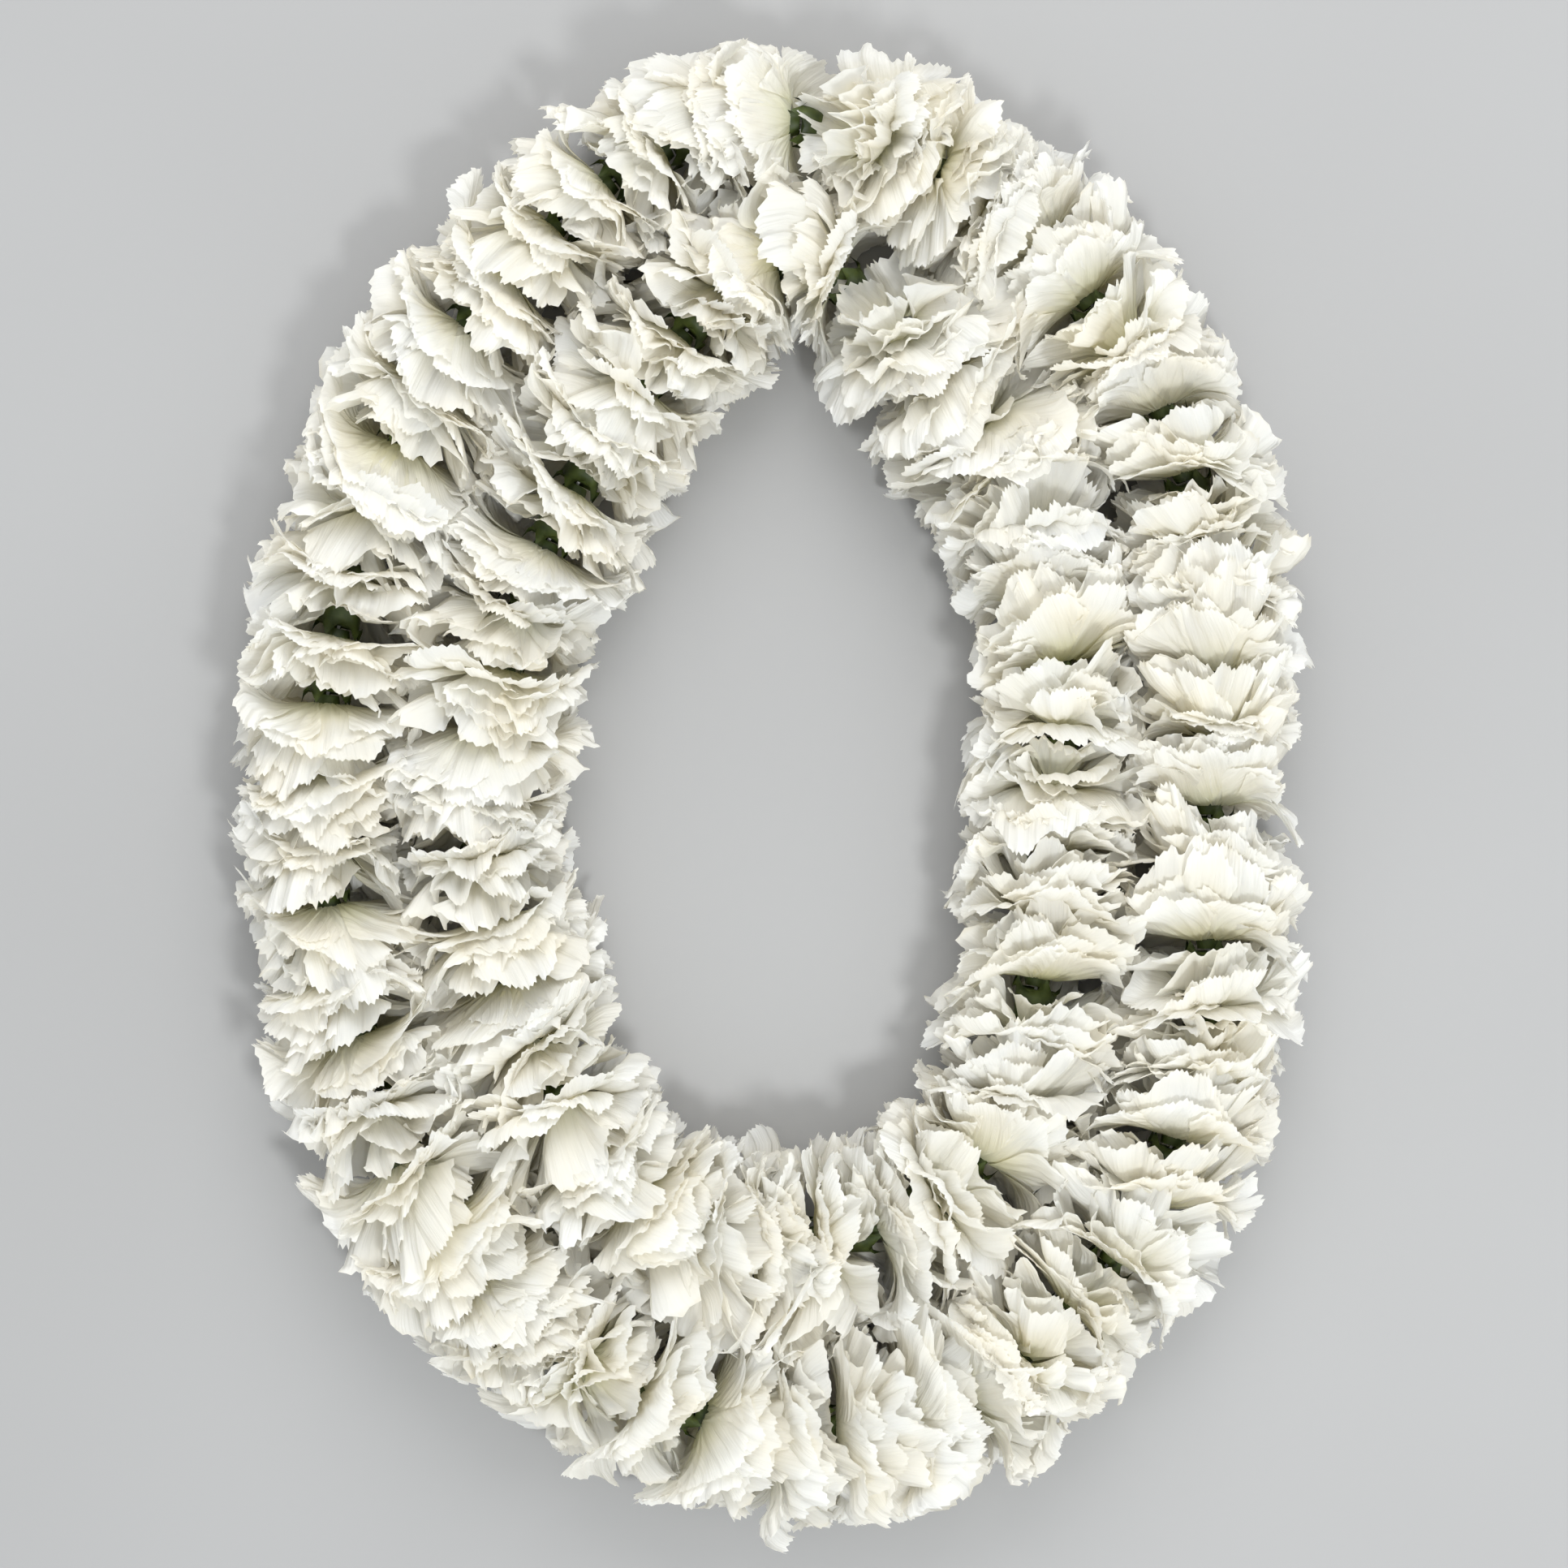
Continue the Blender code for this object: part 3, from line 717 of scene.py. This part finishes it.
class Nodes:
    """A material's nodes, made in short lines."""

    def __init__(self, name):
        self.material = bpy.data.materials.new(name)
        self.material.use_nodes = True
        self.tree = self.material.node_tree
        self.shader = self.tree.nodes["Principled BSDF"]
        self.output = self.tree.nodes["Material Output"]

    def add(self, kind, inputs=(), **values):
        node = self.tree.nodes.new("ShaderNode" + kind)
        for key, value in values.items():
            setattr(node, key, value)
        for key, value in dict(inputs).items():
            if isinstance(value, bpy.types.NodeSocket):
                self.tree.links.new(value, node.inputs[key])
            else:
                node.inputs[key].default_value = value
        return node

    def link(self, source, target):
        self.tree.links.new(source, target)

    def math(self, operation, a, b=0.0, clamp=False):
        node = self.add("Math", {0: a, 1: b}, operation=operation, use_clamp=clamp)
        return node.outputs[0]

    def ramp(self, value, stops):
        node = self.add("ValToRGB", {"Fac": value})
        ramp = node.color_ramp
        while len(ramp.elements) < len(stops):
            ramp.elements.new(0.5)
        for element, (at, colour) in zip(ramp.elements, stops):
            element.position = at
            element.color = (*colour, 1)
        return node.outputs["Color"]

    def mix(self, share, a, b, blend="MIX"):
        node = self.add("Mix", data_type="RGBA", blend_type=blend)
        for socket, value in ((node.inputs["Factor"], share), (node.inputs[6], a), (node.inputs[7], b)):
            if isinstance(value, bpy.types.NodeSocket):
                self.link(value, socket)
            elif isinstance(value, tuple):
                socket.default_value = (*value, 1)
            else:
                socket.default_value = value
        return node.outputs[2]


def petal_material():
    n = Nodes("petal_white_fine")
    read = n.add("VertexColor", layer_name="petal")
    parts = n.add("SeparateColor", {"Color": read.outputs["Color"]})
    along, tint, depth = (parts.outputs[k] for k in ("Red", "Green", "Blue"))
    body = n.ramp(
        along,
        (
            (0.0, (0.68, 0.67, 0.33)),
            (0.20, (0.905, 0.88, 0.645)),
            (0.45, (0.965, 0.945, 0.848)),
            (0.75, (0.985, 0.978, 0.948)),
        ),
    )
    body = n.mix(n.math("MULTIPLY", tint, 0.65), body, (0.968, 0.972, 0.972))
    # Painted shade: the rims of the inner whorls, tucked against the bloom in front, are tinted a
    # darker brownish cream, the more so the deeper the whorl.
    rim = n.math("MULTIPLY", n.math("SUBTRACT", along, 0.93), 14.0, clamp=True)
    rim = n.math("MULTIPLY", rim, n.math("MULTIPLY", depth, 0.55))
    body = n.mix(rim, body, (0.80, 0.72, 0.52))
    sheet = n.add("UVMap", uv_map="sheet")
    grain = n.add("Mapping", {"Vector": sheet.outputs["UV"], "Scale": (34.0, 2.2, 1.0)})
    veins = n.add("TexNoise", {"Vector": grain.outputs["Vector"], "Scale": 1.0, "Detail": 1.0})
    shade = n.ramp(veins.outputs["Fac"], ((0.30, (0.95, 0.945, 0.93)), (0.62, (1.0, 1.0, 1.0))))
    body = n.mix(0.5, body, shade, "MULTIPLY")
    where = n.add("NewGeometry")
    blotch = n.add("TexNoise", {"Vector": where.outputs["Position"], "Scale": 55.0, "Detail": 0.0})
    warm = n.ramp(blotch.outputs["Fac"], ((0.35, (1.0, 0.979, 0.93)), (0.65, (1.0, 1.0, 1.0))))
    body = n.mix(0.8, body, warm, "MULTIPLY")
    wide = n.add("Mapping", {"Vector": sheet.outputs["UV"], "Scale": (8.0, 0.7, 1.0)})
    ridges = n.add("TexNoise", {"Vector": wide.outputs["Vector"], "Scale": 1.0, "Detail": 0.0})
    height = n.math("MULTIPLY", ridges.outputs["Fac"], 3.0)
    height = n.math("ADD", height, veins.outputs["Fac"])
    bump = n.add("Bump", {"Strength": 0.42, "Distance": 0.001, "Height": height})
    n.link(body, n.shader.inputs["Base Color"])
    n.shader.inputs["Roughness"].default_value = 0.34
    n.shader.inputs["Specular IOR Level"].default_value = 0.5
    n.link(bump.outputs["Normal"], n.shader.inputs["Normal"])
    through = n.mix(1.0, body, (1.0, 0.976, 0.91), "MULTIPLY")
    glow = n.add("BsdfTranslucent", {"Color": through})
    both = n.add("MixShader", {"Fac": 0.48})
    n.link(n.shader.outputs[0], both.inputs[1])
    n.link(glow.outputs[0], both.inputs[2])
    n.link(both.outputs[0], n.output.inputs["Surface"])
    return n.material


def calyx_material():
    n = Nodes("calyx_green_fine")
    where = n.add("NewGeometry")
    spots = n.add("TexNoise", {"Vector": where.outputs["Position"], "Scale": 160.0, "Detail": 4.0})
    body = n.ramp(spots.outputs["Fac"], ((0.35, (0.022, 0.036, 0.005)), (0.70, (0.070, 0.095, 0.016))))
    bump = n.add("Bump", {"Strength": 0.4, "Distance": 0.0005, "Height": spots.outputs["Fac"]})
    n.link(body, n.shader.inputs["Base Color"])
    n.link(bump.outputs["Normal"], n.shader.inputs["Normal"])
    n.shader.inputs["Roughness"].default_value = 0.48
    return n.material


def thread_material():
    n = Nodes("thread_white_fine")
    where = n.add("NewGeometry")
    plies = n.add(
        "TexWave",
        {"Vector": where.outputs["Position"], "Scale": 900.0, "Distortion": 1.5},
        bands_direction="DIAGONAL",
    )
    body = n.ramp(plies.outputs["Color"], ((0.0, (0.62, 0.60, 0.54)), (1.0, (0.84, 0.83, 0.78))))
    bump = n.add("Bump", {"Strength": 0.5, "Distance": 0.0002, "Height": plies.outputs["Color"]})
    n.link(body, n.shader.inputs["Base Color"])
    n.link(bump.outputs["Normal"], n.shader.inputs["Normal"])
    n.shader.inputs["Roughness"].default_value = 0.85
    return n.material


def floor_material():
    n = Nodes("floor_pale")
    where = n.add("NewGeometry")
    mottle = n.add("TexNoise", {"Vector": where.outputs["Position"], "Scale": 3.0})
    body = n.ramp(mottle.outputs["Fac"], ((0.3, (0.36, 0.352, 0.344)), (0.7, (0.385, 0.378, 0.37))))
    n.link(body, n.shader.inputs["Base Color"])
    n.shader.inputs["Roughness"].default_value = 0.9
    return n.material


def add_camera():
    data = bpy.data.cameras.new("camera")
    data.sensor_fit = "AUTO"
    data.sensor_width = SENSOR
    data.lens = SENSOR * CAMERA_DISTANCE / VIEW_WIDTH
    data.clip_start = 0.01
    camera = bpy.data.objects.new("camera", data)
    camera.location = (*VIEW_AT, VIEW_HEIGHT + CAMERA_DISTANCE)
    bpy.context.scene.collection.objects.link(camera)
    bpy.context.scene.camera = camera


def add_light(name, place, size, power, colour):
    data = bpy.data.lights.new(name, "AREA")
    data.shape = "DISK"
    data.size = size
    data.energy = power
    data.color = colour
    lamp = bpy.data.objects.new(name, data)
    lamp.location = place
    lamp.rotation_euler = (-Vector(place)).to_track_quat("-Z", "Y").to_euler()
    bpy.context.scene.collection.objects.link(lamp)


def add_world():
    scene = bpy.context.scene
    scene.world = bpy.data.worlds.new("world")
    scene.world.use_nodes = True
    sky = scene.world.node_tree.nodes["Background"]
    sky.inputs["Color"].default_value = (*SKY, 1)
    sky.inputs["Strength"].default_value = SKY_STRENGTH
    scene.view_settings.view_transform = "Standard"
    scene.cycles.max_bounces = MOST_BOUNCES


def add_floor():
    corners = ((-1, -1, 0), (1, -1, 0), (1, 1, 0), (-1, 1, 0))
    places = np.array(corners) * FLOOR_HALF
    floor = new_mesh("floor", places, np.array([[0, 1, 2, 3]]), False)
    floor.data.materials.append(floor_material())


def dress(piece, material, slot, *nodes):
    """Give a fine piece its material, hang it under the root body, and hide the model's nodes that it
    stands in for.
    """
    piece.data.materials.clear()
    piece.data.materials.append(material)
    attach(piece, "root")
    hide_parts(*nodes)


def main():
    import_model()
    add_camera()
    add_world()
    for values in LIGHTS:
        add_light(*values)
    add_floor()
    petal, calyx, thread = petal_material(), calyx_material(), thread_material()
    for number, (name, values) in enumerate(STRANDS.items()):
        strand = Strand(name, **values)
        blooms = [Bloom(strand, index) for index in range(strand.count)]
        for k, first in enumerate(range(0, strand.count, strand.per_node)):
            group = blooms[first : first + strand.per_node]
            ends = [blooms[(b.index + 1) % strand.count] for b in group]
            node = f"petals_{name}_{k + 1:02d}"
            piece = petals_piece("fine_" + node, list(zip(group, ends)), number)
            dress(piece, petal, "petal_white", node)
            node = f"calyxes_{name}_{k + 1:02d}"
            piece = calyx_piece("fine_" + node, group, blooms[first - 1])
            dress(piece, calyx, "calyx_green", node)
        piece = thread_piece("fine_thread_" + name, strand, blooms)
        dress(piece, thread, "thread_white", "thread_" + name)


main()
